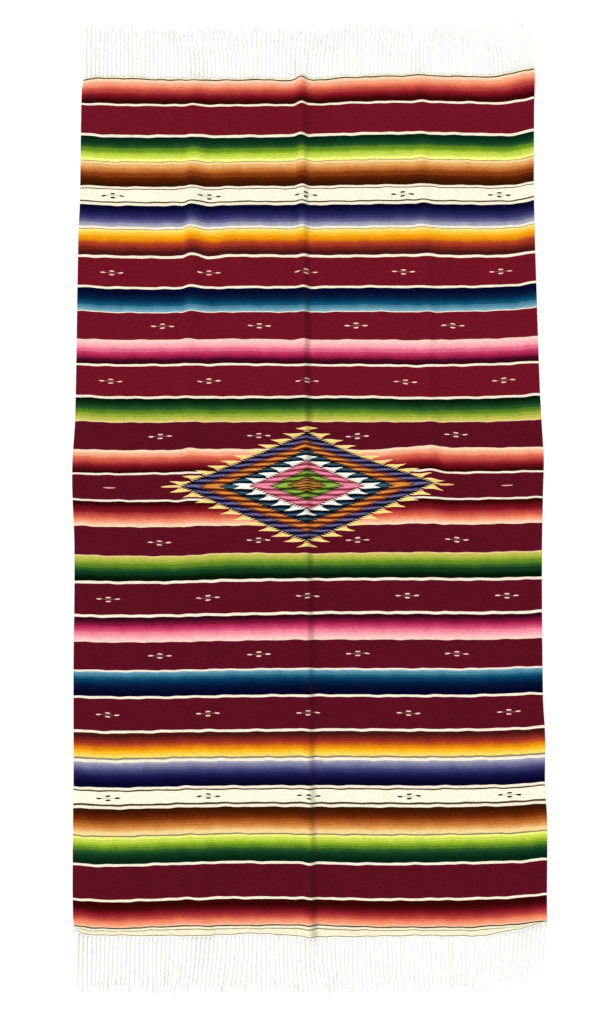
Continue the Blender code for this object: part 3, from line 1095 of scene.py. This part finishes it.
@dataclass
class WovenCloth:
    """The woven cloth: a thin shell on its form, with its mesh rows on the bands' own lines.

    Attributes:
        form: the form that it lies in.
        finish: the wool finish.
        row_spacing: the widest space between two mesh rows, in millimetres.
        column_spacing: the widest space between two mesh columns, in millimetres.
        fold_spacing: the same on a fold.
        edge_bulge: how far the selvedges round out, in millimetres.
        cut: the flat size of the cloth, in metres.
    """

    form: ClothForm
    finish: WoolFinish
    row_spacing: float = 11.0
    column_spacing: float = 12.0
    fold_spacing: float = 3.6
    edge_bulge: float = 0.7
    cut: tuple[float, float] = (1.20, 2.206)

    def strips(self) -> list[Strip]:
        """Returns the strips between the mesh rows, from the foot to the head."""
        inner = BANDS[1:]
        runs = [(band, band.foot, following.foot) for band, following in zip(BANDS, inner)]
        runs.append((BANDS[-1], BANDS[-1].foot, BANDS[-1].head))
        runs.extend((band, following.head, band.head) for band, following in zip(BANDS[-2::-1], inner[::-1]))
        found = []
        for band, low, high in runs:
            parts = math.ceil((high - low) / self.row_spacing)
            for part in range(parts):
                ends = (part / parts, (part + 1) / parts)
                heights = [low + (high - low) * end for end in ends]
                found.append(self.strip(band, low, heights, ends))
        foot, head = self.form.ends
        found[0] = found[0]._replace(low=foot)
        found[-1] = found[-1]._replace(high=head)
        return found

    def strip(self, band: Band, low: float, heights: list[float], ends: tuple[float, float]) -> Strip:
        """Makes one strip of a band.

        Args:
            band: the band.
            low: the height of the band's lower side.
            heights: the heights of the strip's two sides.
            ends: the same as shares of the band's height.

        Returns:
            The strip, with the place of its two sides in the yarn's shades.
        """
        yarn = band.yarn
        if yarn is Yarn.BURGUNDY and low < DYE_LOT_HEIGHT:
            yarn = Yarn.DEEP_BURGUNDY
        count = len(yarn.value)
        in_foot_half = low < 0.0
        lot = band.foot_lot if in_foot_half else band.head_lot
        places = []
        for end in ends:
            inward = end if in_foot_half else 1.0 - end
            towards_dark = inward if band.order is Order.LIGHT_OUT else 1.0 - inward
            places.append(count * towards_dark + lot)
        return Strip(*heights, self.finish.palette.start(yarn), count, *places)

    def columns(self) -> list[float]:
        """Returns the mesh columns as places across an even cloth, in millimetres."""
        half = self.cut[0] / MM / 2
        found = [-half]
        while found[-1] < half:
            near = min(
                abs(found[-1] - (fold.x_foot + fold.x_head) / 2) / max(fold.reach_left, fold.reach_right)
                for fold in FOLDS
            )
            edge = min(half - found[-1], half + found[-1]) < 45.0
            step = self.fold_spacing if near < 1.6 or edge else self.column_spacing
            found.append(found[-1] + step)
        found[-1] = half
        return found

    def build(self) -> bpy.types.Object:
        """Builds the cloth's mesh with its shade attribute and weave map.

        Returns:
            The cloth as one closed shell.
        """
        strips = self.strips()
        heights = [strips[0].low] + [strip.high for strip in strips]
        half = self.cut[0] / MM / 2
        shares = [(column + half) / (2 * half) for column in self.columns()]
        count = len(shares)
        points, flat = [], []
        for height in heights:
            row = []
            for share in shares:
                x, y = self.form.point(share, height)
                row.append((x, y, self.form.lift(x, y)))
            top = [(x, y, z + self.form.wall) for x, y, z in row]
            middle = self.form.wall / 2
            right = [(row[-1][0] + self.edge_bulge, row[-1][1], row[-1][2] + middle)]
            left = [(row[0][0] - self.edge_bulge, row[0][1], row[0][2] + middle)]
            ring = top + right + row[::-1] + left
            points.extend(self.form.place(*point) for point in ring)
            flat.extend((point[0] * MM, height * MM) for point in ring)
        ring_size = 2 * count + 2
        faces, rows_of_face = [], []
        for row in range(len(heights) - 1):
            for side in range(ring_size):
                following = (side + 1) % ring_size
                low, high = row * ring_size, (row + 1) * ring_size
                faces.append((low + side, low + following, high + following, high + side))
                rows_of_face.append(row)
        for row, turn in ((0, -1), (len(heights) - 1, 1)):
            base = row * ring_size
            for side in range(count - 1):
                under = ring_size - 2 - side
                face = (base + side, base + under, base + under - 1, base + side + 1)
                faces.append(face if turn > 0 else face[::-1])
                rows_of_face.append(min(row, len(strips) - 1))
            for corner in ((count - 1, count, count + 1), (ring_size - 2, ring_size - 1, 0)):
                face = tuple(base + side for side in corner)
                faces.append(face[::-1] if turn > 0 else face)
                rows_of_face.append(min(row, len(strips) - 1))
        data = bpy.data.meshes.new("serape_cloth")
        data.from_pydata(points, [], faces)
        self.write_maps(data, strips, rows_of_face, flat, ring_size)
        data.materials.append(self.finish.build())
        data.shade_smooth()
        data.set_sharp_from_angle(angle=math.radians(55))
        return add_object("serape_cloth", data)

    def write_maps(
        self,
        data: bpy.types.Mesh,
        strips: list[Strip],
        rows_of_face: list[int],
        flat: list[tuple[float, float]],
        ring_size: int,
    ) -> None:
        """Writes the shade attribute and the weave map, a value for each corner of each face.

        Args:
            data: the cloth's mesh.
            strips: the strips between its rows.
            rows_of_face: the strip that each face lies in.
            flat: the place of each point on the flat cloth, in metres.
            ring_size: the number of points in a row.
        """
        shade = data.attributes.new("shade", "FLOAT_VECTOR", "CORNER")
        weave = data.uv_layers.new(name="weave")
        shades, maps = [], []
        for polygon, row in zip(data.polygons, rows_of_face):
            strip = strips[row]
            for corner in polygon.vertices:
                upper = corner // ring_size > row
                shades.extend((strip.start, strip.shade_high if upper else strip.shade_low, strip.count))
                maps.extend(flat[corner])
        shade.data.foreach_set("vector", shades)
        weave.uv.foreach_set("vector", maps)

    def dress(self) -> bpy.types.Object:
        """Builds the cloth and places it in the frame.

        Returns:
            The finished cloth.
        """
        cloth = self.build()
        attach(cloth, BODY)
        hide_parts("woven_panel")
        return cloth


@dataclass
class WarpFringe:
    """The warp ends past one end of the cloth: a heading cord, a row of knots and twisted locks.

    Attributes:
        form: the form of the cloth.
        finish: the cotton finish.
        node: the frame's node that it stands for.
        outward: 1 at the head and -1 at the foot.
        strands, length, strip_width, seam, shortest, jitter, seed, landing, waves: as the plain strands have.
        tip_height: the height of a lock's middle line at its tip, in millimetres.
        steps: the points of a lock's middle line.
        yarns, yarn_radius: the yarns of a lock and their radius, in millimetres.
        lock_spread, lock_turns, lock_stray: how far they lie from its middle, turn round it and stray.
        knot_radius: the radius of its knot.
        cord_radius, cord_spread, cord_turns: the same sizes of the heading cord.
        cord_samples: the points of its line.
        cord_out, cord_rise: its place past the cloth's end and over its middle, in millimetres.
    """

    form: ClothForm
    finish: CottonFinish
    node: str
    outward: int
    strands: int = 108
    length: float = 135.0
    strip_width: float = 6.0
    seam: float = 0.3
    shortest: float = 0.86
    jitter: float = 1.1
    seed: int = 21
    landing: float = 0.72
    tip_height: float = 1.25
    steps: int = 13
    waves: tuple[tuple[float, float, float], ...] = ((9.0, 131.0, 0.7), (5.0, 57.0, 2.1), (2.0, 23.0, 0.0))
    yarns: int = 4
    yarn_radius: float = 0.78
    lock_spread: float = 1.25
    lock_turns: float = 1.6
    lock_stray: float = 2.6
    knot_radius: float = 1.75
    cord_radius: float = 0.95
    cord_spread: float = 0.75
    cord_turns: float = 96.0
    cord_samples: int = 620
    cord_out: float = 1.6
    cord_rise: float = 0.4

    def end_point(self, share: float) -> tuple[float, float, float]:
        """Returns a point of the cloth's end: X, Y and the underside's height."""
        x, y = self.form.point(share, self.form.ends[1 if self.outward > 0 else 0])
        return x, y, self.form.lift(x, y)

    def locks(self) -> list[list[tuple[float, float, float]]]:
        """Returns the middle lines of the locks, which keep the order of draws of the plain strands."""
        draw = random.Random(self.seed + self.outward)
        found = []
        for strand in range(self.strands):
            x, y, floor = self.end_point((strand + 0.5) / self.strands)
            reach = self.length * draw.uniform(self.shortest, 1.0)
            drift = sum(sway * math.sin(x / run + phase) for sway, run, phase in self.waves)
            drift += draw.uniform(-self.jitter, self.jitter)
            sway = draw.uniform(-self.jitter, self.jitter)
            start_y = y + self.outward * (self.seam + self.strip_width)
            start_z = floor + self.form.wall / 2
            line = []
            for step in range(self.steps):
                share = step / (self.steps - 1)
                line.append((
                    x + drift * share * share + sway * math.sin(math.pi * share),
                    start_y + self.outward * reach * share,
                    start_z + (self.tip_height - start_z) * ease(share / self.landing),
                ))
            found.append(line)
        return found

    def guide(self, name: str, lines: list[list[tuple[float, float, float]]]) -> bpy.types.Object:
        """Makes a mesh of loose edges along some lines.

        Args:
            name: the object's name.
            lines: the points of each line, in the cloth's millimetres.

        Returns:
            An object whose points know their share along their line and the line's number.
        """
        points, edges, along, number = [], [], [], []
        for index, line in enumerate(lines):
            first = len(points)
            points.extend(self.form.place(*point) for point in line)
            edges.extend((first + step, first + step + 1) for step in range(len(line) - 1))
            along.extend(step / (len(line) - 1) for step in range(len(line)))
            number.extend([index] * len(line))
        data = bpy.data.meshes.new(name)
        data.from_pydata(points, edges, [])
        data.attributes.new("along", "FLOAT", "POINT").data.foreach_set("value", along)
        data.attributes.new("number", "FLOAT", "POINT").data.foreach_set("value", number)
        return add_object(name, data)

    def finished(
        self, guide: bpy.types.Object, tree: bpy.types.NodeTree, sizes: dict[str, object]
    ) -> bpy.types.Object:
        """Runs a tree on a guide and turns the result into a plain mesh.

        Args:
            guide: the guide, which the result replaces.
            tree: the Geometry Nodes tree.
            sizes: the tree's inputs, by name.

        Returns:
            The finished piece.
        """
        modifier = guide.modifiers.new("make", "NODES")
        modifier.node_group = tree
        sockets = {item.name: item.identifier for item in tree.interface.items_tree if item.in_out == "INPUT"}
        for name, value in sizes.items():
            modifier[sockets[name]] = value
        graph = bpy.context.evaluated_depsgraph_get()
        data = bpy.data.meshes.new_from_object(guide.evaluated_get(graph))
        guide.modifiers.remove(modifier)
        guide.data = data
        data.name = guide.name
        return guide

    def dress(self) -> list[bpy.types.Object]:
        """Builds the locks with their knots and the heading cord, and places them in the frame.

        Returns:
            The finished pieces.
        """
        cotton = self.finish.build(f"{self.node}_cotton")
        locks = self.finished(
            self.guide(f"{self.node}_locks", self.locks()),
            YarnTrees.locks(),
            {
                "Yarns": self.yarns, "Yarn radius": self.yarn_radius * MM, "Spread": self.lock_spread * MM,
                "Turns": self.lock_turns, "Stray": self.lock_stray * MM,
                "Knot radius": self.knot_radius * MM, "Material": cotton,
                "Outward": float(self.outward), "Seed": self.seed + self.outward,
            },
        )
        cord_line = []
        for step in range(self.cord_samples):
            x, y, floor = self.end_point(step / (self.cord_samples - 1))
            height = floor + self.form.wall / 2 + self.cord_rise
            cord_line.append((x, y + self.outward * self.cord_out, height))
        cord = self.finished(
            self.guide(f"{self.node}_heading_cord", [cord_line]),
            YarnTrees.cord(),
            {
                "Yarns": 2, "Yarn radius": self.cord_radius * MM, "Spread": self.cord_spread * MM,
                "Turns": self.cord_turns, "Material": cotton,
            },
        )
        for piece in (locks, cord):
            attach(piece, BODY)
        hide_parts(self.node)
        return [locks, cord]


class YarnTrees:
    """The Geometry Nodes trees that make twisted yarn along guide lines."""

    made: dict[str, bpy.types.NodeTree] = {}

    @staticmethod
    def start(name: str, inputs: tuple[tuple[str, str, object], ...]) -> tuple[NodeGraph, bpy.types.Node]:
        """Starts a tree with named inputs.

        Args:
            name: the tree's name.
            inputs: the name, socket type and first value of each input.

        Returns:
            The graph and its input node.
        """
        tree = bpy.data.node_groups.new(name, "GeometryNodeTree")
        tree.interface.new_socket("Geometry", in_out="INPUT", socket_type="NodeSocketGeometry")
        tree.interface.new_socket("Geometry", in_out="OUTPUT", socket_type="NodeSocketGeometry")
        for label, kind, value in inputs:
            socket = tree.interface.new_socket(label, in_out="INPUT", socket_type=kind)
            if value is not None:
                socket.default_value = value
        graph = NodeGraph(tree)
        return graph, graph.node("NodeGroupInput")

    @staticmethod
    def attribute(graph: NodeGraph, name: str) -> bpy.types.NodeSocket:
        """Returns a number stored on the points."""
        made = graph.node("GeometryNodeInputNamedAttribute", data_type="FLOAT")
        made.inputs["Name"].default_value = name
        return made.outputs[0]

    @staticmethod
    def twisted(
        graph: NodeGraph, source: bpy.types.Node, guide: bpy.types.NodeSocket, phase: object, stray: object
    ) -> bpy.types.NodeSocket:
        """Twists a few yarns round each guide line and gives them their thickness.

        Args:
            graph: the tree's graph.
            source: its input node.
            guide: the guide lines as curves.
            phase: where each line's twist starts, in turns.
            stray: how far a yarn strays from its place, as an offset, or None.

        Returns:
            The yarns as meshes.
        """
        along = YarnTrees.attribute(graph, "along")
        copies = graph.node("GeometryNodeDuplicateElements", domain="SPLINE")
        graph.join(guide, copies.inputs["Geometry"])
        graph.join(source.outputs["Yarns"], copies.inputs["Amount"])
        share = graph.maths("DIVIDE", copies.outputs["Duplicate Index"], source.outputs["Yarns"])
        turns = graph.maths("ADD", graph.maths("MULTIPLY", along, source.outputs["Turns"]), share)
        angle = graph.maths("MULTIPLY", graph.maths("ADD", turns, phase), 2.0 * math.pi)
        tangent = graph.node("GeometryNodeInputTangent").outputs[0]
        side = graph.vector("NORMALIZE", graph.vector("CROSS_PRODUCT", tangent, (0.0, 0.0, 1.0)))
        spread = source.outputs["Spread"]
        across = graph.scaled(side, graph.maths("MULTIPLY", graph.maths("COSINE", angle), spread))
        height = graph.maths("MULTIPLY", graph.maths("SINE", angle), spread)
        offset = graph.vector("ADD", across, graph.combine(0.0, 0.0, height))
        if stray is not None:
            offset = graph.vector("ADD", offset, stray(copies.outputs["Duplicate Index"], along))
        moved = graph.node("GeometryNodeSetPosition")
        graph.join(copies.outputs["Geometry"], moved.inputs["Geometry"])
        graph.join(offset, moved.inputs["Offset"])
        place = graph.node("GeometryNodeInputPosition").outputs[0]
        x, y, z = graph.split(place)
        floor = graph.maths("ADD", source.outputs["Yarn radius"], 0.0002)
        above = graph.node("GeometryNodeSetPosition")
        graph.join(moved.outputs[0], above.inputs["Geometry"])
        graph.join(graph.combine(x, y, graph.maths("MAXIMUM", z, floor)), above.inputs["Position"])
        profile = graph.node("GeometryNodeCurvePrimitiveCircle")
        profile.inputs["Resolution"].default_value = 5
        graph.join(source.outputs["Yarn radius"], profile.inputs["Radius"])
        swept = graph.node("GeometryNodeCurveToMesh")
        graph.join(above.outputs[0], swept.inputs["Curve"])
        graph.join(profile.outputs[0], swept.inputs["Profile Curve"])
        swept.inputs["Fill Caps"].default_value = True
        return swept.outputs[0]

    @staticmethod
    def end(graph: NodeGraph, source: bpy.types.Node, geometry: bpy.types.NodeSocket) -> bpy.types.NodeTree:
        """Ends a tree: instances are realized, shaded smooth and given their material."""
        real = graph.node("GeometryNodeRealizeInstances")
        graph.join(geometry, real.inputs[0])
        smooth = graph.node("GeometryNodeSetShadeSmooth")
        graph.join(real.outputs[0], smooth.inputs["Geometry"])
        dressed = graph.node("GeometryNodeSetMaterial")
        graph.join(smooth.outputs[0], dressed.inputs["Geometry"])
        graph.join(source.outputs["Material"], dressed.inputs["Material"])
        graph.join(dressed.outputs[0], graph.node("NodeGroupOutput").inputs[0])
        return graph.tree

    @classmethod
    def cord(cls) -> bpy.types.NodeTree:
        """Returns the tree of a plain twisted cord."""
        if "cord" not in cls.made:
            graph, source = cls.start("twisted_cord", (
                ("Yarns", "NodeSocketInt", 2), ("Yarn radius", "NodeSocketFloat", 0.001),
                ("Spread", "NodeSocketFloat", 0.001), ("Turns", "NodeSocketFloat", 10.0),
                ("Material", "NodeSocketMaterial", None),
            ))
            curve = graph.node("GeometryNodeMeshToCurve")
            graph.join(source.outputs["Geometry"], curve.inputs["Mesh"])
            cls.made["cord"] = cls.end(graph, source, cls.twisted(graph, source, curve.outputs[0], 0.0, None))
        return cls.made["cord"]

    @classmethod
    def locks(cls) -> bpy.types.NodeTree:
        """Returns the tree of the fringe: a knot at the root of each lock and its loosely twisted yarns."""
        if "locks" in cls.made:
            return cls.made["locks"]
        graph, source = cls.start("knotted_locks", (
            ("Yarns", "NodeSocketInt", 4), ("Yarn radius", "NodeSocketFloat", 0.001),
            ("Spread", "NodeSocketFloat", 0.001), ("Turns", "NodeSocketFloat", 2.0),
            ("Stray", "NodeSocketFloat", 0.002), ("Knot radius", "NodeSocketFloat", 0.002),
            ("Outward", "NodeSocketFloat", 1.0), ("Seed", "NodeSocketInt", 0),
            ("Material", "NodeSocketMaterial", None),
        ))
        curve = graph.node("GeometryNodeMeshToCurve")
        graph.join(source.outputs["Geometry"], curve.inputs["Mesh"])
        number = cls.attribute(graph, "number")
        chance = graph.node("FunctionNodeRandomValue", data_type="FLOAT")
        graph.join(number, chance.inputs["ID"])
        graph.join(source.outputs["Seed"], chance.inputs["Seed"])
        phase = chance.outputs[1]

        def stray(index: bpy.types.NodeSocket, along: bpy.types.NodeSocket) -> bpy.types.NodeSocket:
            """Returns how far a yarn strays from its lock, more towards its tip."""
            place = graph.node("GeometryNodeInputPosition").outputs[0]
            seed = graph.combine(
                graph.maths("MULTIPLY", index, 3.7), graph.maths("MULTIPLY", number, 1.9), 0.0
            )
            noise = graph.node("ShaderNodeTexNoise")
            graph.join(graph.vector("ADD", graph.scaled(place, 22.0), seed), noise.inputs["Vector"])
            noise.inputs["Scale"].default_value = 1.0
            noise.inputs["Detail"].default_value = 1.0
            away = graph.vector("SUBTRACT", noise.outputs[1], (0.5, 0.5, 0.5))
            flat = graph.vector("MULTIPLY", away, (4.0, 0.6, 0.5))
            amount = graph.maths("MULTIPLY", graph.maths("MULTIPLY", along, along), source.outputs["Stray"])
            return graph.scaled(flat, amount)

        yarns = cls.twisted(graph, source, curve.outputs[0], phase, stray)
        joined = graph.node("GeometryNodeJoinGeometry")
        graph.join(yarns, joined.inputs[0])
        graph.join(cls.knots(graph, source), joined.inputs[0])
        cls.made["locks"] = cls.end(graph, source, joined.outputs[0])
        return cls.made["locks"]

    @classmethod
    def knots(cls, graph: NodeGraph, source: bpy.types.Node) -> bpy.types.NodeSocket:
        """Puts a knot, two close turns of yarn, at the root of each lock.

        Args:
            graph: the tree's graph.
            source: its input node.

        Returns:
            The knots as instances.
        """
        along = cls.attribute(graph, "along")
        number = cls.attribute(graph, "number")
        turn = graph.node("GeometryNodeCurveSpiral")
        radius = source.outputs["Knot radius"]
        for name, value in (
            ("Resolution", 10), ("Rotations", 2.2), ("Start Radius", graph.maths("MULTIPLY", radius, 0.9)),
            ("End Radius", radius), ("Height", graph.maths("MULTIPLY", radius, 1.7)),
        ):
            graph.join(value, turn.inputs[name])
        profile = graph.node("GeometryNodeCurvePrimitiveCircle")
        profile.inputs["Resolution"].default_value = 6
        graph.join(graph.maths("MULTIPLY", radius, 0.68), profile.inputs["Radius"])
        swept = graph.node("GeometryNodeCurveToMesh")
        graph.join(turn.outputs[0], swept.inputs["Curve"])
        graph.join(profile.outputs[0], swept.inputs["Profile Curve"])
        swept.inputs["Fill Caps"].default_value = True
        spin = graph.node("FunctionNodeRandomValue", data_type="FLOAT")
        graph.join(-0.35, spin.inputs[2])
        graph.join(0.35, spin.inputs[3])
        graph.join(number, spin.inputs["ID"])
        graph.join(source.outputs["Seed"], spin.inputs["Seed"])
        upright = graph.maths("MULTIPLY", source.outputs["Outward"], -math.pi / 2)
        placed = graph.node("GeometryNodeInstanceOnPoints")
        graph.join(source.outputs["Geometry"], placed.inputs["Points"])
        graph.join(graph.maths("LESS_THAN", along, 0.001), placed.inputs["Selection"])
        graph.join(swept.outputs[0], placed.inputs["Instance"])
        graph.join(graph.combine(upright, 0.0, spin.outputs[1]), placed.inputs["Rotation"])
        nudge = graph.node("GeometryNodeTranslateInstances")
        graph.join(placed.outputs[0], nudge.inputs[0])
        graph.join(graph.combine(0.0, graph.maths("MULTIPLY", source.outputs["Outward"], -0.0035), 0.0019),
                   nudge.inputs["Translation"])
        nudge.inputs["Local Space"].default_value = False
        return nudge.outputs[0]


@dataclass
class Studio:
    """The pale floor, the soft light and the camera.

    Attributes:
        distance: from the camera to the floor in the middle of its view, in metres.
        tilt: how far the camera leans towards the foot end, in degrees.
        target: the place on the floor in the middle of its view, in the cloth's millimetres.
        lens: its focal length for the sensor's long side, in millimetres.
        sensor: the sensor's long side, in millimetres.
        floor_half, floor_shade: the floor's half width, in metres, and its shade.
        sky, sun: the strengths of the sky and of the large light.
        sun_size, sun_turn: that light's spread and its turns about X, Y and Z, in degrees.
    """

    form: ClothForm
    distance: float = 2.7535
    tilt: float = 3.5
    target: tuple[float, float] = (-6.4, -41.7)
    lens: float = 37.77
    sensor: float = 36.0
    floor_half: float = 9.0
    floor_shade: str = "fdfdfd"
    sky: float = 0.83
    sun: float = 1.30
    sun_size: float = 40.0
    sun_turn: tuple[float, float, float] = (-22.0, -30.0, 0.0)

    def build(self) -> None:
        """Builds the floor, the light and the camera."""
        self.lay_floor()
        self.light()
        self.set_camera()

    def lay_floor(self) -> None:
        """Lays the floor."""
        mesh = bmesh.new()
        bmesh.ops.create_grid(mesh, x_segments=1, y_segments=1, size=self.floor_half)
        bmesh.ops.translate(mesh, vec=(0.0, 0.0, -0.0002), verts=mesh.verts)
        data = bpy.data.meshes.new("floor")
        mesh.to_mesh(data)
        mesh.free()
        material = bpy.data.materials.new("floor_paper")
        material.use_nodes = True
        shader = material.node_tree.nodes["Principled BSDF"]
        shader.inputs["Base Color"].default_value = linear(self.floor_shade)
        shader.inputs["Roughness"].default_value = 0.95
        shader.inputs["Specular IOR Level"].default_value = 0.0
        data.materials.append(material)
        add_object("floor", data)

    def light(self) -> None:
        """Sets an even sky and one large soft light from the upper left."""
        world = bpy.data.worlds.new("soft_sky")
        world.use_nodes = True
        background = world.node_tree.nodes["Background"]
        background.inputs["Color"].default_value = (1.0, 1.0, 1.0, 1.0)
        background.inputs["Strength"].default_value = self.sky
        bpy.context.scene.world = world
        data = bpy.data.lights.new("soft_sun", "SUN")
        data.energy = self.sun
        data.angle = math.radians(self.sun_size)
        sun = bpy.data.objects.new("soft_sun", data)
        sun.rotation_euler = [math.radians(turn) for turn in self.sun_turn]
        bpy.context.scene.collection.objects.link(sun)

    def set_camera(self) -> None:
        """Sets the camera above the cloth, leaning a little."""
        lean = math.radians(self.tilt)
        aim = Vector(self.form.place(*self.target, 0.0))
        data = bpy.data.cameras.new("camera")
        data.lens, data.sensor_width = self.lens, self.sensor
        camera = bpy.data.objects.new("camera", data)
        camera.location = aim + Vector((0.0, -math.sin(lean), math.cos(lean))) * self.distance
        camera.rotation_euler = (lean, 0.0, 0.0)
        bpy.context.scene.collection.objects.link(camera)
        bpy.context.scene.camera = camera
        bpy.context.scene.view_settings.view_transform = "Standard"


def main() -> None:
    """Builds the studio, the cloth and its two fringes, and reports each piece."""
    logging.basicConfig(level=logging.INFO, format="%(name)s: %(message)s")
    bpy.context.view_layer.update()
    form = ClothForm()
    Studio(form).build()
    cloth = WovenCloth(form, WoolFinish())
    sheet = cloth.dress()
    pieces = [sheet]
    for node, outward in (("fringe_head", 1), ("fringe_foot", -1)):
        pieces.extend(WarpFringe(form, CottonFinish(), node, outward).dress())
    for piece in pieces:
        log.info("%s: %d faces", piece.name, len(piece.data.polygons))


if __name__ == "__main__":
    main()
